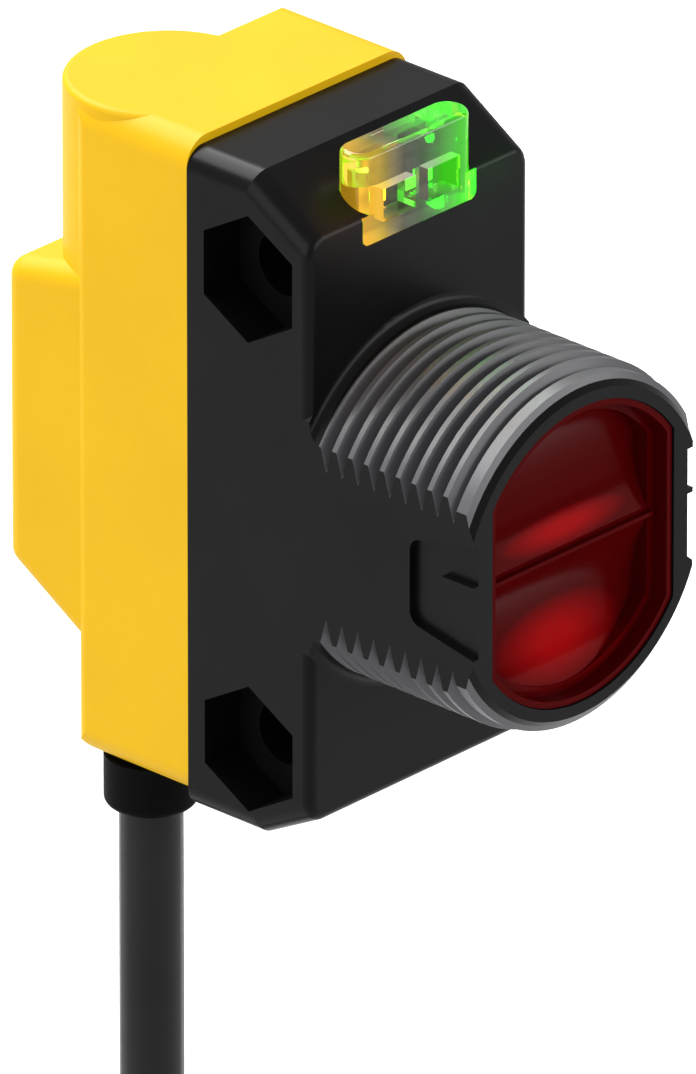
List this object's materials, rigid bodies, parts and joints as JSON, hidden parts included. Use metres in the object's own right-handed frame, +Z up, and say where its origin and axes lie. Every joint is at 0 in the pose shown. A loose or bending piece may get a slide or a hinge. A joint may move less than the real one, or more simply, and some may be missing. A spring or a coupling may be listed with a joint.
{
  "type": "photoelectric sensor",
  "caption": "Small right-angle photoelectric sensor with a threaded nose, red lens, side mounting holes, lit light pipe and a coiled cable.",
  "frame": {"origin": "on the threaded barrel's axis, in the plane of the housing's front face (the barrel's shoulder)", "axes": "-Y along the barrel towards the lens, +Z up the housing towards the indicator light pipe, +X to the right seen from the front"},
  "size_m": [0.0213, 0.0497, 0.1542],
  "materials": {
    "black_housing": "moulded, fine satin",
    "yellow_housing": "moulded, satin",
    "clear_polycarbonate": "clear, polished",
    "red_acrylic": "dyed through, polished",
    "black_rubber": "matt",
    "black_block": "matt",
    "led_epoxy": "clear red epoxy",
    "diode_epoxy": "dark filter epoxy",
    "tin_plate": "tin plated",
    "amber_led": "lit",
    "green_led": "lit",
    "board_laminate": "green solder mask",
    "chip_epoxy": "moulded epoxy",
    "capacitor_body": "moulded epoxy",
    "solder": "tinned",
    "cable_jacket": "smooth PVC",
    "tie_nylon": "nylon",
    "insulation_brown": "PVC",
    "insulation_white": "PVC",
    "insulation_blue": "PVC",
    "insulation_black": "PVC"
  },
  "bodies": {
    "root": {"cable": "cable_jacket", "cable_coil": "cable_jacket", "cable_tail": "cable_jacket", "cable_tie": "tie_nylon", "chip_resistors": "chip_epoxy", "emitter_led": "led_epoxy", "front_housing": "black_housing", "indicator_led_amber": "amber_led", "indicator_led_green": "green_led", "indicator_light_pipe": "clear_polycarbonate", "inner_conductor_black": "insulation_black", "inner_conductor_blue": "insulation_blue", "inner_conductor_brown": "insulation_brown", "inner_conductor_white": "insulation_white", "lead_black": "insulation_black", "lead_blue": "insulation_blue", "lead_brown": "insulation_brown", "lead_tips": "solder", "lead_white": "insulation_white", "lens_cover": "red_acrylic", "lens_seal": "black_rubber", "main_circuit_board": "board_laminate", "optical_block": "black_block", "output_transistor_npn": "chip_epoxy", "output_transistor_pnp": "chip_epoxy", "protection_diode": "chip_epoxy", "rear_housing": "yellow_housing", "receiver_photodiode": "diode_epoxy", "receiver_shield": "tin_plate", "signal_chip": "chip_epoxy", "solder_joints": "solder", "strain_relief": "black_rubber", "supply_capacitor": "capacitor_body", "voltage_regulator": "chip_epoxy"}
  },
  "joints": []
}
